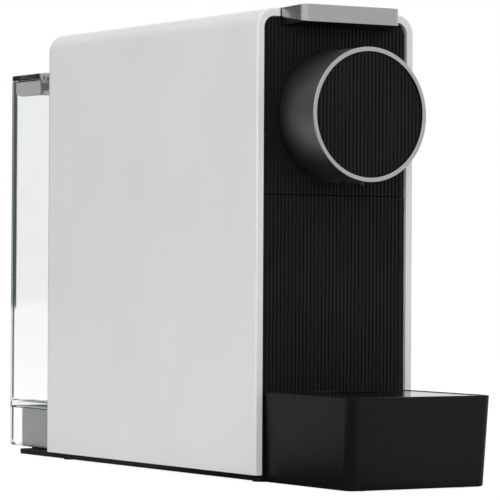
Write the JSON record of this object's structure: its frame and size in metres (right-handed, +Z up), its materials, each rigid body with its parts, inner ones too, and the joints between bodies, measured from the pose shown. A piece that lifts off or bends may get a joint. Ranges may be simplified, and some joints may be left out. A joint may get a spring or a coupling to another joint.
{
  "type": "pod coffee machine",
  "caption": "Slim pod coffee machine with an arched white shell, ribbed black front, round brew barrel, top lever, capsule drawer with drip box, and a clear rear water tank.",
  "frame": {"origin": "centre of the machine's footprint on the surface it stands on", "axes": "+Z up, +Y to the water tank behind, front with the spout faces -Y, +X to the right seen from behind the camera at the front"},
  "size_m": [0.089, 0.348, 0.2265],
  "materials": {
    "barrel_graphite": "satin graphite metallic",
    "base_black": "matt black",
    "bin_plastic": "matt",
    "board_green": "solder-mask green",
    "brew_plastic": "glass-filled plastic",
    "button_silver": "satin silver paint",
    "cam_steel": "satin",
    "coil_black": "moulded coil",
    "drip_black": "gloss black",
    "drip_lid_black": "high gloss black",
    "foot_rubber": "matt",
    "gland_rubber": "matt",
    "heater_cast": "as cast",
    "hose_clear": "translucent silicone",
    "inner_plastic": "matt dark grey",
    "lever_silver": "brushed silver",
    "lid_smoke": "smoked clear plastic",
    "panel_black": "satin black, fine upright ribs",
    "parts_dark": "mixed dark components",
    "pedestal_grey": "satin grey",
    "pump_tan": "glass-filled plastic",
    "seal_rubber": "matt silicone",
    "shell_white": "satin gloss white, lightly reflective",
    "spout_black": "satin",
    "steel": "brushed",
    "tank_clear": "clear polished plastic",
    "trim_silver": "satin silver"
  },
  "bodies": {
    "machine": {"outer_shell": "shell_white", "rear_cover": "base_black", "base_plate": "base_black", "rubber_feet": "foot_rubber", "base_screws": "steel", "chassis": "inner_plastic", "front_panel_upper": "panel_black", "barrel_sleeve": "barrel_graphite", "barrel_trim_ring": "trim_silver", "barrel_cap": "panel_black", "coffee_spout": "spout_black", "coffee_duct": "inner_plastic", "lever_axle": "steel", "axle_clips": "steel", "capsule_guide": "inner_plastic", "brew_plate_left": "brew_plastic", "brew_plate_right": "brew_plastic", "brew_bridge": "inner_plastic", "extraction_head": "inner_plastic", "extraction_plate": "steel", "plate_seal": "seal_rubber", "tank_pedestal": "pedestal_grey", "tank_seal": "seal_rubber", "cord_gland": "gland_rubber", "spring_small_cup": "steel", "spring_large_cup": "steel", "button_board": "board_green", "pump_body": "pump_tan", "pump_coil": "coil_black", "pump_bracket": "steel", "pump_mounts": "foot_rubber", "pump_springs": "steel", "flow_meter": "hose_clear", "suction_hose": "hose_clear", "pressure_hose": "hose_clear", "brew_hose": "hose_clear", "thermoblock": "heater_cast", "thermostats": "steel", "control_board": "board_green", "board_parts": "parts_dark"},
    "lever": {"lever_handle": "lever_silver", "lever_cam_left": "cam_steel", "lever_cam_right": "cam_steel"},
    "cage": {"brew_cage": "brew_plastic", "cage_pins": "steel", "piercing_plate": "steel"},
    "drawer": {"front_panel_lower": "panel_black", "capsule_bin": "bin_plastic", "drip_box": "drip_black", "drip_pads": "foot_rubber"},
    "drip_cover": {"drip_lid": "drip_lid_black"},
    "tank": {"water_tank": "tank_clear", "lid_pin": "steel", "tank_valve_body": "inner_plastic", "valve_spring": "steel"},
    "tank_cover": {"tank_lid": "lid_smoke"},
    "poppet": {"valve_poppet": "hose_clear"},
    "small_cup_button": {"button_small_cup": "button_silver"},
    "large_cup_button": {"button_large_cup": "button_silver"},
    "plunger": {"pump_plunger": "steel"}
  },
  "joints": [
    {"name": "lever_hinge", "type": "hinge", "parent": "machine", "child": "lever", "pos_m": [0, -0.0035, 0.209], "axis": [-1, 0, 0], "range_deg": [0, 80]},
    {"name": "cage_slide", "type": "slide", "parent": "machine", "child": "cage", "axis": [0, 1, 0], "range_m": [0, 0.03001], "deforming": ["brew_hose"]},
    {"name": "drawer_slide", "type": "slide", "parent": "machine", "child": "drawer", "axis": [0, -1, 0], "range_m": [0, 0.085]},
    {"name": "drip_lid_lift", "type": "slide", "parent": "drawer", "child": "drip_cover", "axis": [0, 0, 1], "range_m": [0, 0.03]},
    {"name": "tank_lift", "type": "slide", "parent": "machine", "child": "tank", "axis": [0, 0, 1], "range_m": [0, 0.03]},
    {"name": "tank_lid_hinge", "type": "hinge", "parent": "tank", "child": "tank_cover", "pos_m": [0, 0.1301, 0.2033], "axis": [1, 0, 0], "range_deg": [0, 95]},
    {"name": "valve_poppet_slide", "type": "slide", "parent": "tank", "child": "poppet", "axis": [0, 0, 1], "range_m": [0, 0.0015], "stiffness_N_per_m": 150, "springref_m": -0.001, "deforming": ["valve_spring"]},
    {"name": "small_cup_press", "type": "slide", "parent": "machine", "child": "small_cup_button", "axis": [0, 0, -1], "range_m": [0, 0.0012], "stiffness_N_per_m": 400, "springref_m": -0.001, "deforming": ["spring_small_cup"]},
    {"name": "large_cup_press", "type": "slide", "parent": "machine", "child": "large_cup_button", "axis": [0, 0, -1], "range_m": [0, 0.0012], "stiffness_N_per_m": 400, "springref_m": -0.001, "deforming": ["spring_large_cup"]},
    {"name": "plunger_stroke", "type": "slide", "parent": "machine", "child": "plunger", "axis": [0, 0, 1], "range_m": [-0.002, 0.002], "stiffness_N_per_m": 1500, "deforming": ["pump_springs"]}
  ],
  "couplings": [
    {"joint": "cage_slide", "follows": "lever_hinge", "m_per_rad": 0.021486}
  ]
}
